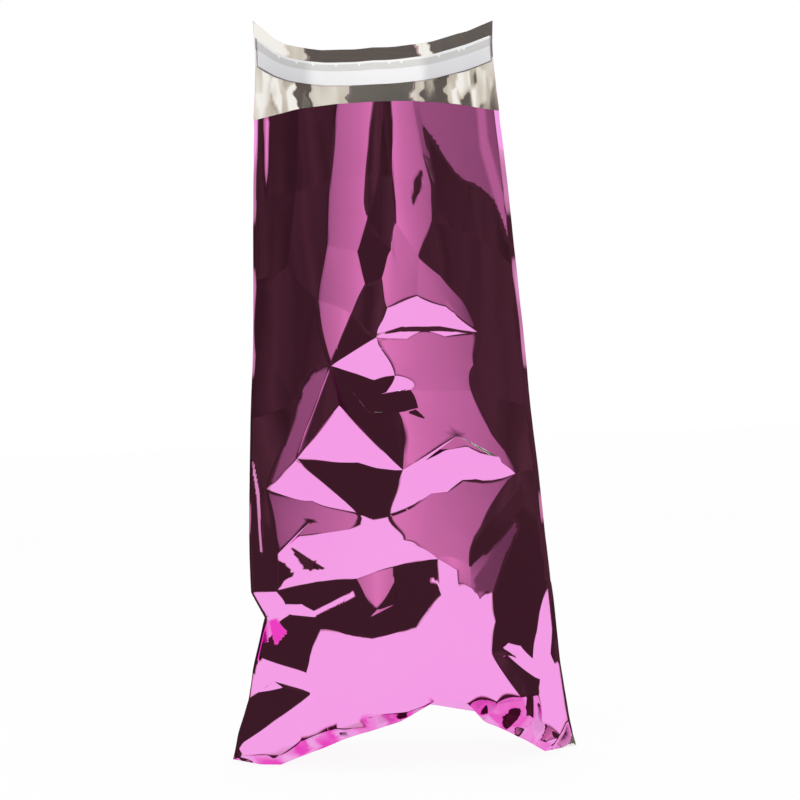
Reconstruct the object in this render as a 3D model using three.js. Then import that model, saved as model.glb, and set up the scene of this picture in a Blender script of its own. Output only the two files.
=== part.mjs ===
// A foil gift bag: one folded, side-sealed film with a bottom gusset and a peel-and-seal lip.
// Millimetres, +Z up, front to -Y. The bag stands on its opened gusset.
import * as THREE from 'three';

// Driving dimensions
const seamTopWidth = 116;      // distance between the side seams at the mouth, with the bag opened
const seamFootWidth = 162;     // the same from ear to ear, on the floor
const panelHeight = 300;       // floor to the front panel's top edge
const lipHeight = 45;          // how far the back panel runs past the front one
const lipSag = 5;              // how much lower the lip's edge is in its middle
const frontBulge = 38;         // front panel's middle, forward of the seams, at the mouth
const backBulge = 42;          // back panel's middle, behind the seams, at the mouth
const backFootBulge = 33;      // the same at the back fold
const filmThickness = 0.5;     // the film's wall here; the real one is about 0.06
const sealWidth = 3;           // band where front and back are sealed together at each side
const gussetHeight = 42;       // floor to the gusset's inner crease
const gussetSpread = 3;        // distance between the two folded layers at each side
const tapeBottom = 25;         // peel-off liner's lower edge, above the front panel's top
const tapeWidth = 12.5;
const adhesiveWidth = 4.5;     // the adhesive is the tape's upper band
const adhesiveThickness = 0.4;
const linerThickness = 0.4;
const layerGap = 0.3;          // between film, adhesive and liner
const footWidth = 2.5;         // flat strip of film under each corner, where the bag stands
const creaseSoftness = 0.35;   // 0 leaves each crease sharp, 1 rounds it as much as the film's middle

const degrees = Math.PI / 180;
const mix = (a, b, t) => a + (b - a) * t;

// The side seams: [height, left x, right x] as shares of the panel's height and of the half widths.
const seamPoints = [
  [300, -58, 57.5], [262, -60, 60.5], [225, -61.5, 63], [190, -63, 65.5], [160, -65.5, 67],
  [130, -67, 69.5], [100, -68.5, 71.5], [78, -68.5, 73.5], [66, -62.5, 74.5], [42, -69, 76],
  [28, -71.5, 77.5], [12, -77, 79.5], [0, -80, 82],
];
const lastShared = 9;          // below this seam point each side splits into a front and a back pocket
const nominalTop = 57.75;
const nominalFoot = 81;
const drawnHeight = 300;
const drawnGusset = 42;

// Drawn places are stretched to the driving dimensions: widths by their height on the bag, and
// heights above and below the gusset's inner crease.
function across(x, z) {
  const share = Math.min(1, Math.max(0, z / drawnHeight));
  return x * mix(seamFootWidth / 2 / nominalFoot, seamTopWidth / 2 / nominalTop, share);
}
function upward(z) {
  if (z <= drawnGusset) return z * gussetHeight / drawnGusset;
  return gussetHeight + (z - drawnGusset) * (panelHeight - gussetHeight) / (drawnHeight - drawnGusset);
}

// Crease points of the front panel, [x, z], read down the bag.
const frontPoints = {
  a3: [-35, 300], a4: [-17.5, 300], a5: [0, 300], a5m: [3, 300], a6: [6, 300], a7: [16, 300],
  a8: [36, 299.5], a9: [48, 299],
  b3: [-37, 263], b4: [-22.5, 266], b5: [-5.5, 266], b5m: [0, 266], b6: [5, 265], b7: [19, 275],
  b7r: [25, 261], b8: [38, 263], b9: [51, 262],
  c4: [-25, 236], c5: [-7, 248], c6: [5.5, 248], c7: [22.5, 246], c7k: [16, 229.5], c8: [47, 240],
  d3: [-45, 228], d4: [-30.5, 212], d5: [-10, 233], d5r: [-8, 217], d5s: [-13.5, 206],
  d6: [4, 233], d6r: [0, 222], d7: [25, 221.5], d8: [35, 208.5],
  A: [-8, 194], Am: [17, 198], B: [43.5, 195], C: [-26, 183],
  u1: [-1, 205], u2: [14.5, 212], u3: [28.5, 207.5],
  p3: [4, 177], p4: [-6, 175], D: [13, 171], q1: [-1, 169], q2: [6.5, 170],
  l1: [-13, 164], l1b: [-3.5, 159.5], l2: [6, 160.5],
  s1: [-41, 166], s2: [-48, 147.5], s3: [-33, 164], E: [-44.5, 140.5], F: [6, 132], T: [-23, 166.5],
  Tm: [-14, 138.5], n1: [39.5, 180], n2: [38, 170], n3: [48, 148.5],
  v1: [19, 142.5], v2: [36, 144], v3: [52.5, 137.5], V: [59.5, 131], w1: [33, 129], w2: [17, 122.5],
  G: [-12, 113.5], G2: [-8, 110.5], H: [-60, 127], h1: [-36, 121],
  I: [-54, 96], i1: [-48, 105], i2: [-16.5, 108.5], j1: [5, 101.5], J: [20, 94], K: [-55, 80],
  k1: [-35.5, 84], P: [-17, 85], j2: [0, 91.5], s9: [0, 85], sp: [-8.5, 68.5], st: [-20, 80.5],
  m1: [36, 98.5], m2: [34, 87], m3: [34.5, 78.5], m4: [43, 77], m5: [56.5, 108.5],
  o1: [-36, 65.5], o2: [-24.5, 59], o3: [-12, 57.5], o4: [-1.5, 59], o5: [8, 62.5], o6: [19, 81.5],
  x1: [-51, 75], x2: [-38.5, 71], x3: [-36, 68], y1: [-57.5, 62.5], y2: [-50, 68], y3: [-40.5, 49],
  y4: [-42, 42], y5: [-66, 47], z1: [-67, 32.5], z2: [-53, 36], z3: [-38.5, 34.5], z4: [-75, 9],
  Q: [41, 49], g1: [45, 64.5], g2: [50, 53], g3: [57, 50], g4: [62.5, 43], g5: [65.5, 32],
  g6: [55.5, 29.5], g7: [64, 28], g8: [48.5, 49], R: [64, 55.5], t2: [71, 43],
  f1: [-74, 5], f3: [-55, 5], f4: [-46.5, 11], f5: [-30.5, 18], f6: [-7, 25], f7: [15, 30],
  f8: [30, 29], f9: [44, 28.5], f10: [58, 21], f11: [64.5, 15], f12: [74, 7],
  h2: [-67, 0], h3: [-55, 0], h4: [-24, 14], h5: [0, 21.5], h7: [37, 20], h8: [50, 12],
  h9: [66, 0], h10: [75, 0],
};

// Facets between the creases: corner names anticlockwise from the front, then how far the film
// leans back (faces up) and how far it turns to the right, in degrees.
const frontFacets = [
  ['L0 L1 b3 a3', 0, -52], ['a3 b3 b4 a4', 0, -36], ['a4 b4 b5 a5', 0, -9], ['a5 b5 b5m a5m', 0, 30],
  ['a5m b5m b6 a6', 0, -30], ['a6 b6 b7r b7 a7', 0, 7], ['a7 b7 b8 a8', -2, 17],
  ['a8 b8 b9 a9', -2, 30], ['a9 b9 R1 R0', 0, 65], ['b7 b7r c7 c8 b8', 0, 40],
  ['b8 c8 R2 R1 b9', 0, 52],
  ['L1 L2 d3 b3', 0, -52], ['b3 d3 d4 c4 b4', 0, -38], ['b4 c4 d5 c5 b5', 0, -9],
  ['c4 d4 d5s d5r d5', -2, -5], ['d4 C d5s', 3, -3], ['b5 c5 b5m', 0, 30],
  ['b5m c5 d6 c6 b6', 0, -24], ['c5 d5 d5r d6r d6', -8, -24], ['d5r d5s A u1 d6r', 0, 30],
  ['d5s C A', -12, 26], ['b6 c6 c7k c7 b7r', 0, 5], ['c6 d6 d6r u1 u2 c7k', 0, 4],
  ['c7k u2 u3 B d8 d7', -5, 9], ['u1 A Am B u3 u2', 20, 2], ['c7 c7k d7 d8 c8', 0, 42],
  ['c8 d8 B R3 R2', 0, 50], ['B n1 n2 R4 R3', 0, 50], ['n2 n3 V R5 R4', 0, 55],
  ['L2 L3 s1 C d4 d3', 0, -44], ['L3 L4 s1', 0, -46], ['L4 L5 H s2 s1', 0, -52],
  ['C s1 s3', 2, -12], ['s1 s2 E s3', 2, -12], ['s2 H E', 4, -14],
  ['T E Tm F', 24, -2], ['C s3 E T', -4, 30], ['C T F l2 l1b l1', -4, -30],
  ['A C p4 p3', 26, 0], ['p3 p4 q1', -22, 0], ['p3 q1 q2 D', 26, 4],
  ['C l1 l1b l2 D q2 q1 p4', -24, 0], ['A p3 D n2 n1 B Am', 1, 3], ['D l2 F v1 v2 v3 V n3 n2', -3, 3],
  ['F G2 w2 w1 V v3 v2 v1', 22, -4], ['E G G2 F Tm', -24, 4], ['E H h1 G', 24, -10],
  ['H I i1 i2 G h1', -2, -7], ['L5 L6 I H', 0, -55], ['L6 L7 K I', 0, -55],
  ['i1 I K k1 P i2', 24, -4], ['i2 P j2 J j1 G2 G', 24, 4], ['w2 G2 j1 J m2 m1 V w1', -2, 4],
  ['m2 m3 m4 m5', 0, 12], ['m1 m2 m5 V', 0, 42], ['J m3 m2', -8, 0], ['V m5 R6 R5', 0, 60],
  ['m5 m4 R7 R6', 0, 50], ['m4 g1 Q g2 g3 g4 R R7', 0, 48], ['R7 R t2 R8', 20, 30],
  ['R g4 g5 t2', 20, 25], ['R8 t2 R9', 5, 60], ['t2 g5 g7 f11 f12 R11 R10 R9', 20, 30],
  ['g2 Q g8 g5 g4 g3', 24, 5], ['Q g6 g7 g5 g8', -20, 14],
  ['K x1 x2 st P k1', -30, 0], ['P st x2 x3 o1 o2 sp', -12, -6], ['P sp s9 j2', -3, 0],
  ['j2 s9 sp o2 o3 o4 o5 o6 J', -22, 4],
  ['J o6 o5 f7 f8 f9 g6 Q g1 m4 m3', 22, 4], ['o5 o4 o3 o2 o1 f5 f6 f7', 24, 0],
  ['o1 y3 y4 z3 f4 f5', 24, -4], ['x3 y2 y1 y5 y4 y3 o1', -14, -34], ['K L7 L8 x1', 15, -15],
  ['x1 L8 y1 y2 x3 x2', 2, -8], ['L8 L9 y5 y1', 10, -60], ['y5 L9 L10 z1 z2 z3 y4', 20, -30],
  ['z1 L10 L11 z4 z3 z2', -14, -34], ['z3 z4 f1 f3 f4', 24, -12], ['z4 L11 L12 f1', 0, -30],
  ['f1 L12 h2 h3 f3', -30, -10], ['f3 h3 h4 f5 f4', -45, -5], ['f5 h4 h5 f6', -45, 0],
  ['f6 h5 f7', -45, 0], ['f8 h7 f9', -40, 0], ['f9 h7 h8 f10 g6', -30, 20], ['g6 f10 f11 g7', -10, 30],
  ['f10 h8 h9 f12 f11', -35, 25], ['f12 h9 h10 R12 R11', -20, 40],
];
const frontFold = 'L12 h2 h3 h4 h5 f7 f8 h7 h8 h9 h10 R12'.split(' ');

// Places of the crease points, and the film's height out from the seams' plane.
const points = new Map();
function addPoint(name, x, z, out) {
  points.set(name, { x: across(x, z), z: upward(z), out });
}
seamPoints.forEach(([z, left, right], i) => {
  const out = i > lastShared ? gussetSpread / 2 : 0;
  addPoint(`L${i}`, left, z, out);
  addPoint(`R${i}`, right, z, out);
});
for (const [name, [x, z]] of Object.entries(frontPoints)) addPoint(name, x, z, null);

// The mouth's front edge is a fixed arc, the seams stay at their plane, and the rest follows the
// facets' leans.
const mouthHalf = seamTopWidth / 2;
for (const [name, p] of points) {
  if (name[0] === 'a') p.out = frontBulge * Math.pow(1 - Math.pow(Math.abs(p.x) / mouthHalf, 2.4), 0.9);
}
const free = [...points.values()].filter((p) => p.out === null);
free.forEach((p) => { p.out = frontBulge * 0.8; });

const facets = frontFacets.map(([names, lean, turn]) => {
  const corners = names.split(' ').map((n) => points.get(n));
  const cx = corners.reduce((s, p) => s + p.x, 0) / corners.length;
  const cz = corners.reduce((s, p) => s + p.z, 0) / corners.length;
  let area = 0;
  corners.forEach((p, i) => {
    const q = corners[(i + 1) % corners.length];
    area += (p.x * q.z - q.x * p.z) / 2;
  });
  return {
    corners, cx, cz, area, slopeX: -Math.tan(turn * degrees),
    slopeZ: -Math.tan(lean * degrees) / Math.cos(turn * degrees),
  };
});

function settleHeights(rounds) {
  for (let round = 0; round < rounds; round += 1) {
    free.forEach((p) => { p.sum = 0; p.weight = 0; });
    for (const f of facets) {
      const mean = f.corners.reduce((s, p) => s + p.out, 0) / f.corners.length;
      for (const p of f.corners) {
        const wanted = mean + f.slopeX * (p.x - f.cx) + f.slopeZ * (p.z - f.cz);
        p.sum = (p.sum || 0) + wanted * f.area;
        p.weight = (p.weight || 0) + f.area;
      }
    }
    free.forEach((p) => { p.out = p.sum / p.weight; });
  }
}
settleHeights(1500);

// The whole film as one cage: corner places and faces with their tags.
const cage = { places: [], faces: [], tags: [], fixed: new Set() };
const indexOf = new Map();
function corner(name, x, y, z) {
  if (!indexOf.has(name)) {
    indexOf.set(name, cage.places.length);
    cage.places.push(new THREE.Vector3(x, y, z));
  }
  return indexOf.get(name);
}
function face(indices, tag = '') {
  cage.faces.push(indices);
  cage.tags.push(tag);
}
for (const [name, p] of points) corner(name, p.x, -p.out, p.z);
for (const [names] of frontFacets) face(names.split(' ').map((n) => indexOf.get(n)));

// Back panel and lip: rows down the bag, columns from left to right.
const backColumns = [0, 0.12, 0.27, 0.42, 0.58, 0.75, 0.9, 1];
const backFoldHeights = [0, 0, 3, 8, 16, 11, 0, 0];
const backDents = {
  '1 2': 3, '2 3': -5, '3 4': 4, '3 2': -4, '4 1': 4, '4 3': 6, '5 2': -7, '5 4': -6, '6 3': 7, '6 5': 5,
  '7 2': 5, '7 4': -6, '8 3': -7, '8 6': -3, '9 2': 4, '9 5': 5, '10 3': -2,
};
function backPlace(row, column) {
  const [z, left, right] = seamPoints[row];
  const share = backColumns[column];
  const side = Math.abs(share - 0.5) * 2;
  const deep = mix(backFootBulge, backBulge, z / drawnHeight);
  const dent = (backDents[`${row} ${column}`] || 0) * deep / backBulge;
  const fold = backFoldHeights[column];
  const height = fold + z * (1 - fold / drawnHeight);
  return new THREE.Vector3(
    across(mix(left, right, share), z),
    deep * Math.pow(1 - Math.pow(side, 2.6), 0.9) + dent,
    upward(height),
  );
}
function backCorner(row, column) {
  const last = backColumns.length - 1;
  const seam = column === 0 ? 'L' : 'R';
  if ((column === 0 || column === last) && row <= lastShared) return indexOf.get(`${seam}${row}`);
  const p = backPlace(row, column);
  if (column === 0 || column === last) p.y = gussetSpread / 2;
  return corner(`back ${row} ${column}`, p.x, p.y, p.z);
}
for (let row = 0; row + 1 < seamPoints.length; row += 1) {
  for (let column = 0; column + 1 < backColumns.length; column += 1) {
    face([
      backCorner(row, column), backCorner(row, column + 1),
      backCorner(row + 1, column + 1), backCorner(row + 1, column),
    ]);
  }
}

const lipRows = [0, tapeBottom / 2, tapeBottom, tapeBottom + tapeWidth - adhesiveWidth,
  tapeBottom + tapeWidth, lipHeight];
function lipCorner(row, column) {
  if (row === 0) return backCorner(0, column);
  const start = cage.places[backCorner(0, column)];
  const share = lipRows[row] / lipHeight;
  const middle = 1 - Math.pow(Math.abs(backColumns[column] - 0.5) * 2, 2);
  return corner(
    `lip ${row} ${column}`,
    start.x * (1 - 0.035 * Math.sin(Math.PI * 0.75 * share)),
    start.y * (1 - 0.06 * share) + 1.5 * share,
    start.z + lipRows[row] - lipSag * middle * share,
  );
}
const lipTags = ['', '', 'liner', 'liner adhesive', ''];
for (let row = 0; row + 1 < lipRows.length; row += 1) {
  for (let column = 0; column + 1 < backColumns.length; column += 1) {
    face([
      lipCorner(row + 1, column), lipCorner(row + 1, column + 1),
      lipCorner(row, column + 1), lipCorner(row, column),
    ], lipTags[row]);
  }
}

// Gusset: two leaves from the front and back folds up to the inner crease.
const apexShares = [0.13, 0.3, 0.45, 0.6, 0.74, 0.88];
const apexOffsets = [-1, 1.5, -1.5, 1, 1.5, -1];
const apex = apexShares.map((share, i) => {
  const [z, left, right] = seamPoints[lastShared];
  return corner(`apex ${i}`, across(mix(left, right, share), z), apexOffsets[i], upward(z + apexOffsets[i]));
});
const apexLine = [indexOf.get(`L${lastShared}`), ...apex, indexOf.get(`R${lastShared}`)];
const at = (name) => indexOf.get(name);
const [ap0, ap1, ap2, ap3, ap4, ap5, ap6, ap7] = apexLine;
const backFold = backColumns.map((share, column) => backCorner(seamPoints.length - 1, column));
const lastColumn = backColumns.length - 1;

// Each corner stands on a narrow flat strip of the leaf beside its fold.
function footCorner(name, foldCorner, x, direction) {
  const p = cage.places[foldCorner];
  return corner(name, p.x + x, p.y + direction * footWidth, 0);
}
const feet = {
  frontLeft: [footCorner('foot 1', at('h2'), 1, 1), footCorner('foot 2', at('h3'), -1, 1)],
  frontRight: [footCorner('foot 3', at('h9'), 1, 1), footCorner('foot 4', at('h10'), -1, 1)],
  backLeft: [
    footCorner('foot 5', backFold[0], 9, 0.6),
    footCorner('foot 6', backFold[1], -1, -1),
  ],
  backRight: [
    footCorner('foot 7', backFold[lastColumn - 1], 1, -1),
    footCorner('foot 8', backFold[lastColumn], -9, 0.6),
  ],
};
face([at('h3'), at('h2'), ...feet.frontLeft]);
face([at('h10'), at('h9'), ...feet.frontRight]);
face([backFold[0], backFold[1], feet.backLeft[1], feet.backLeft[0]]);
face([backFold[lastColumn - 1], backFold[lastColumn], feet.backRight[1], feet.backRight[0]]);

face([
  at('L12'), at('L11'), at('L10'), ap0, ap1,
  at('h3'), feet.frontLeft[1], feet.frontLeft[0], at('h2'),
]);
face([at('h4'), at('h3'), ap1, ap2]);
face([at('h5'), at('h4'), ap2, ap3]);
face([at('f7'), at('h5'), ap3, ap4]);
face([at('f8'), at('f7'), ap4, ap5]);
face([at('h8'), at('h7'), at('f8'), ap5, ap6]);
face([
  at('R11'), at('R12'), at('h10'), feet.frontRight[1], feet.frontRight[0],
  at('h9'), at('h8'), ap6, ap7, at('R10'),
]);
for (let column = 1; column + 1 < lastColumn; column += 1) {
  face([backFold[column], backFold[column + 1], apexLine[column + 1], apexLine[column]]);
}
face([backFold[0], ...feet.backLeft, backFold[1], ap1, ap0, backCorner(10, 0), backCorner(11, 0)]);
face([backFold[lastColumn - 1], ...feet.backRight, backFold[lastColumn],
  backCorner(11, lastColumn), backCorner(10, lastColumn), ap7, ap6]);

// One round of face splitting with rounded creases: each face gets a middle point, each edge a middle
// point, and the old corners move a little towards their neighbours. Open edges stay as they are.
function edgeKey(a, b) {
  return a < b ? `${a} ${b}` : `${b} ${a}`;
}
function soften(mesh) {
  const places = mesh.places.map((p) => p.clone());
  const middles = mesh.faces.map((f) => {
    const m = new THREE.Vector3();
    f.forEach((i) => m.add(mesh.places[i]));
    places.push(m.divideScalar(f.length));
    return places.length - 1;
  });
  const edges = new Map();
  mesh.faces.forEach((f, n) => f.forEach((a, i) => {
    const b = f[(i + 1) % f.length];
    const key = edgeKey(a, b);
    if (!edges.has(key)) edges.set(key, { a, b, faces: [] });
    edges.get(key).faces.push(n);
  }));
  const rims = mesh.places.map(() => []);
  const around = mesh.places.map(() => []);
  for (const e of edges.values()) {
    const halfway = mesh.places[e.a].clone().add(mesh.places[e.b]).multiplyScalar(0.5);
    e.middle = places.length;
    const sharp = mesh.fixed.has(e.a) && mesh.fixed.has(e.b);
    if (e.faces.length === 1) {
      rims[e.a].push(halfway);
      rims[e.b].push(halfway);
      places.push(halfway);
    } else if (sharp) {
      places.push(halfway);
    } else {
      const smooth = halfway.clone().multiplyScalar(2);
      e.faces.forEach((n) => smooth.add(places[middles[n]]));
      smooth.divideScalar(4);
      places.push(halfway.clone().lerp(smooth, creaseSoftness));
      around[e.a].push(smooth);
      around[e.b].push(smooth);
    }
  }
  mesh.places.forEach((p, i) => {
    if (rims[i].length || mesh.fixed.has(i)) return;
    const mean = new THREE.Vector3();
    around[i].forEach((q) => mean.add(q));
    mean.divideScalar(around[i].length);
    places[i].lerp(mean, creaseSoftness * 0.5);
  });
  const faces = [];
  const tags = [];
  mesh.faces.forEach((f, n) => f.forEach((a, i) => {
    const before = f[(i + f.length - 1) % f.length];
    const after = f[(i + 1) % f.length];
    faces.push([a, edges.get(edgeKey(a, after)).middle, middles[n], edges.get(edgeKey(before, a)).middle]);
    tags.push(mesh.tags[n]);
  }));
  return { places, faces, tags, fixed: mesh.fixed };
}
// The folds, the gusset's crease, the feet and the side seams keep their places and stay sharp.
const keptSharp = [...frontFold.map(at), ...backFold, ...apexLine, ...Object.values(feet).flat()];
for (let row = 0; row < seamPoints.length; row += 1) {
  keptSharp.push(at(`L${row}`), at(`R${row}`));
  if (row > lastShared) keptSharp.push(backCorner(row, 0), backCorner(row, lastColumn));
}
keptSharp.forEach((i) => cage.fixed.add(i));
const film = soften(cage);

// Outward directions at the corners, from the faces round each one.
function cornerNormals(mesh) {
  const normals = mesh.places.map(() => new THREE.Vector3());
  for (const f of mesh.faces) {
    const [a, b, c, d] = f.map((i) => mesh.places[i]);
    const n = c.clone().sub(a).cross(d.clone().sub(b)).multiplyScalar(0.5);
    f.forEach((i) => normals[i].add(n.clone().normalize()));
  }
  return normals;
}
const normals = cornerNormals(film);

// The inner skin lies a wall's thickness inside. Where the film doubles back it is set in further,
// as a seal.
function inset(i, distance) {
  const n = normals[i];
  const spread = n.length() / Math.max(1, film.faces.filter((f) => f.includes(i)).length);
  const along = distance / Math.max(spread, distance / sealWidth);
  return film.places[i].clone().addScaledVector(n.clone().normalize(), -along);
}

function bodyFrom(vertices, faces) {
  const geometry = new THREE.BufferGeometry();
  const flat = new Float32Array(faces.length * 3);
  faces.forEach((v, i) => vertices[v].toArray(flat, i * 3));
  geometry.setAttribute('position', new THREE.BufferAttribute(flat, 3));
  geometry.computeVertexNormals();
  return geometry;
}
function sheetBody(faces, outer, inner) {
  const vertices = [...outer, ...inner];
  const shift = outer.length;
  const list = [];
  const open = new Map();
  for (const f of faces) {
    const [a, b, c, d] = f;
    list.push(a, b, c, a, c, d);
    list.push(a + shift, c + shift, b + shift, a + shift, d + shift, c + shift);
    f.forEach((p, i) => {
      const q = f[(i + 1) % f.length];
      if (open.has(`${q} ${p}`)) open.delete(`${q} ${p}`);
      else open.set(`${p} ${q}`, [p, q]);
    });
  }
  for (const [p, q] of open.values()) list.push(p, p + shift, q + shift, p, q + shift, q);
  return bodyFrom(vertices, list);
}
const filmBody = sheetBody(film.faces, film.places, film.places.map((p, i) => inset(i, filmThickness)));

// Tape on the lip's inner face, which faces the front: the film's own faces there, set off by a gap.
function stripBody(tag, start, thickness) {
  const faces = film.faces.filter((f, n) => film.tags[n].includes(tag));
  const used = [...new Set(faces.flat())];
  const place = new Map(used.map((v, i) => [v, i]));
  const near = used.map((v) => inset(v, start));
  const far = used.map((v) => inset(v, start + thickness));
  return sheetBody(faces.map((f) => f.map((v) => place.get(v))), near, far);
}
const adhesiveStart = filmThickness + layerGap;
const linerStart = adhesiveStart + adhesiveThickness + layerGap;

function named(name, geometry, colour, roughness, metalness) {
  const material = new THREE.MeshStandardMaterial({ color: colour, roughness, metalness });
  const mesh = new THREE.Mesh(geometry, material);
  mesh.name = name;
  return mesh;
}
const bag = new THREE.Group();
bag.add(
  named('bag_film', filmBody, 0xd9539c, 0.08, 1),
  named('adhesive_strip', stripBody('adhesive', adhesiveStart, adhesiveThickness), 0xb9b9b6, 0.4, 0),
  named('release_liner', stripBody('liner', linerStart, linerThickness), 0xe6e6ec, 0.35, 0),
);

// The origin is under the middle of the bag's box, on the floor.
const box = new THREE.Box3().setFromObject(bag);
const shift = new THREE.Vector3((box.min.x + box.max.x) / 2, (box.min.y + box.max.y) / 2, box.min.z);
for (const mesh of bag.children) mesh.geometry.translate(-shift.x, -shift.y, -shift.z);

export default bag;
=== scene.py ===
# Looks of the foil gift bag: crumpled mirror film, the lip's tape, a pale studio and a camera.
import math

import bmesh
import bpy
import numpy
from mathutils import Matrix, Vector, noise


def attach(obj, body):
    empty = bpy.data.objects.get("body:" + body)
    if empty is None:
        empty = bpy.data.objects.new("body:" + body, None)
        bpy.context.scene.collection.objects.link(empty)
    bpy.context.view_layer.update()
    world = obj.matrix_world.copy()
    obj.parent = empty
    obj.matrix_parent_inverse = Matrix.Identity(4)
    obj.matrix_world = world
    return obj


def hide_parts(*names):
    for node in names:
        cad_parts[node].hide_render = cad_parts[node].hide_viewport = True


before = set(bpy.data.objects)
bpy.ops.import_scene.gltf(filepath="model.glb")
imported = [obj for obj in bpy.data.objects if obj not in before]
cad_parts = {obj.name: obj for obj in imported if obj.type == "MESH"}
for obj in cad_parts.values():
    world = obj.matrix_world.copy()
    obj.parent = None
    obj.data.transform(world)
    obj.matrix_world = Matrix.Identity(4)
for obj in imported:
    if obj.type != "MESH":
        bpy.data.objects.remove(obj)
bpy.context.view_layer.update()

bl_info = {
    "name": "Foil gift bag",
    "version": (1, 0, 0),
    "blender": (4, 5, 0),
    "location": "3D View > Sidebar > Gift bag",
    "description": "Film, tape and studio of a peel-and-seal foil gift bag",
    "category": "Object",
}

MILLIMETRE = 0.001

# The front panel's creases as the photograph shows them, in millimetres as (across, up). L and R are
# the side seams from the mouth down.
DRAWING_SHIFT = -1.0
SEAM_POINTS = (
    (300, -58, 57.5), (262, -60, 60.5), (225, -61.5, 63), (190, -63, 65.5), (160, -65.5, 67),
    (130, -67, 69.5), (100, -68.5, 71.5), (78, -68.5, 73.5), (66, -62.5, 74.5), (42, -69, 76),
    (28, -71.5, 77.5), (12, -77, 79.5), (0, -80, 82),
)
CREASE_POINTS = {
    "a3": (-35, 300), "a4": (-17.5, 300), "a5": (0, 300), "a5m": (3, 300), "a6": (6, 300), "a7": (16, 300),
    "a8": (36, 299.5), "a9": (48, 299),
    "b3": (-37, 263), "b4": (-22.5, 266), "b5": (-5.5, 266), "b5m": (0, 266), "b6": (5, 265), "b7": (19, 275),
    "b7r": (25, 261), "b8": (38, 263), "b9": (51, 262),
    "c4": (-25, 236), "c5": (-7, 248), "c6": (5.5, 248), "c7": (22.5, 246), "c7k": (16, 229.5), "c8": (47, 240),
    "d3": (-45, 228), "d4": (-30.5, 212), "d5": (-10, 233), "d5r": (-8, 217), "d5s": (-13.5, 206),
    "d6": (4, 233), "d6r": (0, 222), "d7": (25, 221.5), "d8": (35, 208.5),
    "A": (-8, 194), "Am": (17, 198), "B": (43.5, 195), "C": (-26, 183),
    "u1": (-1, 205), "u2": (14.5, 212), "u3": (28.5, 207.5),
    "p3": (4, 177), "p4": (-6, 175), "D": (13, 171), "q1": (-1, 169), "q2": (6.5, 170),
    "l1": (-13, 164), "l1b": (-3.5, 159.5), "l2": (6, 160.5),
    "s1": (-41, 166), "s2": (-48, 147.5), "s3": (-33, 164), "E": (-44.5, 140.5), "F": (6, 132), "T": (-23, 166.5),
    "Tm": (-14, 138.5), "n1": (39.5, 180), "n2": (38, 170), "n3": (48, 148.5),
    "v1": (19, 142.5), "v2": (36, 144), "v3": (52.5, 137.5), "V": (59.5, 131), "w1": (33, 129), "w2": (17, 122.5),
    "G": (-12, 113.5), "G2": (-8, 110.5), "H": (-60, 127), "h1": (-36, 121),
    "I": (-54, 96), "i1": (-48, 105), "i2": (-16.5, 108.5), "j1": (5, 101.5), "J": (20, 94), "K": (-55, 80),
    "k1": (-35.5, 84), "P": (-17, 85), "j2": (0, 91.5), "s9": (0, 85), "sp": (-8.5, 68.5), "st": (-20, 80.5),
    "m1": (36, 98.5), "m2": (34, 87), "m3": (34.5, 78.5), "m4": (43, 77), "m5": (56.5, 108.5),
    "o1": (-36, 65.5), "o2": (-24.5, 59), "o3": (-12, 57.5), "o4": (-1.5, 59), "o5": (8, 62.5), "o6": (19, 81.5),
    "x1": (-51, 75), "x2": (-38.5, 71), "x3": (-36, 68), "y1": (-57.5, 62.5), "y2": (-50, 68), "y3": (-40.5, 49),
    "y4": (-42, 42), "y5": (-66, 47), "z1": (-67, 32.5), "z2": (-53, 36), "z3": (-38.5, 34.5), "z4": (-75, 9),
    "Q": (41, 49), "g1": (45, 64.5), "g2": (50, 53), "g3": (57, 50), "g4": (62.5, 43), "g5": (65.5, 32),
    "g6": (55.5, 29.5), "g7": (64, 28), "g8": (48.5, 49), "R": (64, 55.5), "t2": (71, 43),
    "f1": (-74, 5), "f3": (-55, 5), "f4": (-46.5, 11), "f5": (-30.5, 18), "f6": (-7, 25), "f7": (15, 30),
    "f8": (30, 29), "f9": (44, 28.5), "f10": (58, 21), "f11": (64.5, 15), "f12": (74, 7),
    "h2": (-67, 0), "h3": (-55, 0), "h4": (-24, 14), "h5": (0, 21.5), "h7": (37, 20), "h8": (50, 12),
    "h9": (66, 0), "h10": (75, 0),
}
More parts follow.
